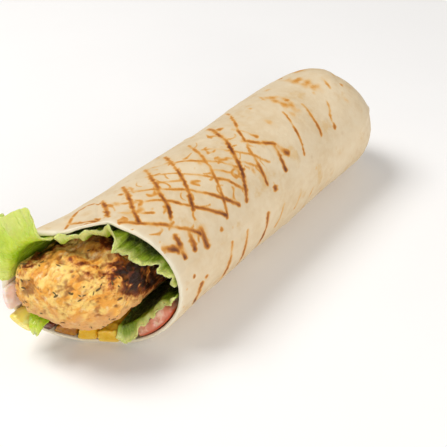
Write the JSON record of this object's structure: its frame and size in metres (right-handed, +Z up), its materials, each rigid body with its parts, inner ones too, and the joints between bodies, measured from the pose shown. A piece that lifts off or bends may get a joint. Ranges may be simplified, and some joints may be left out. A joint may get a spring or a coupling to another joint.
{
  "type": "chicken kebab wrap",
  "caption": "Grilled flatbread wrap lying on its side, one end open on a slant to show a grilled chicken fillet, lettuce, tomato and yellow pepper",
  "frame": {"origin": "under the middle of the whole wrap's box, on the surface that it lies on", "axes": "X runs along the roll, with the open end towards -X; Z is up; Y runs across the roll"},
  "size_m": [0.2202, 0.0654, 0.063],
  "materials": {
    "bread": "matt, floury, with brown grill marks",
    "grilled_meat": "satin, browned and lumpy",
    "green_leaf": "satin",
    "light_leaf": "satin",
    "tomato": "moist, half gloss",
    "pepper": "moist, glossy"
  },
  "bodies": {
    "root": {"tortilla": "bread", "chicken": "grilled_meat", "lettuce_upper": "green_leaf", "lettuce_left": "light_leaf", "lettuce_lower": "green_leaf", "lettuce_front": "light_leaf", "tomato_right": "tomato", "tomato_left": "tomato", "tomato_middle": "tomato", "pepper_left": "pepper", "pepper_shaded": "pepper", "pepper_middle": "pepper", "pepper_right": "pepper"}
  },
  "joints": []
}
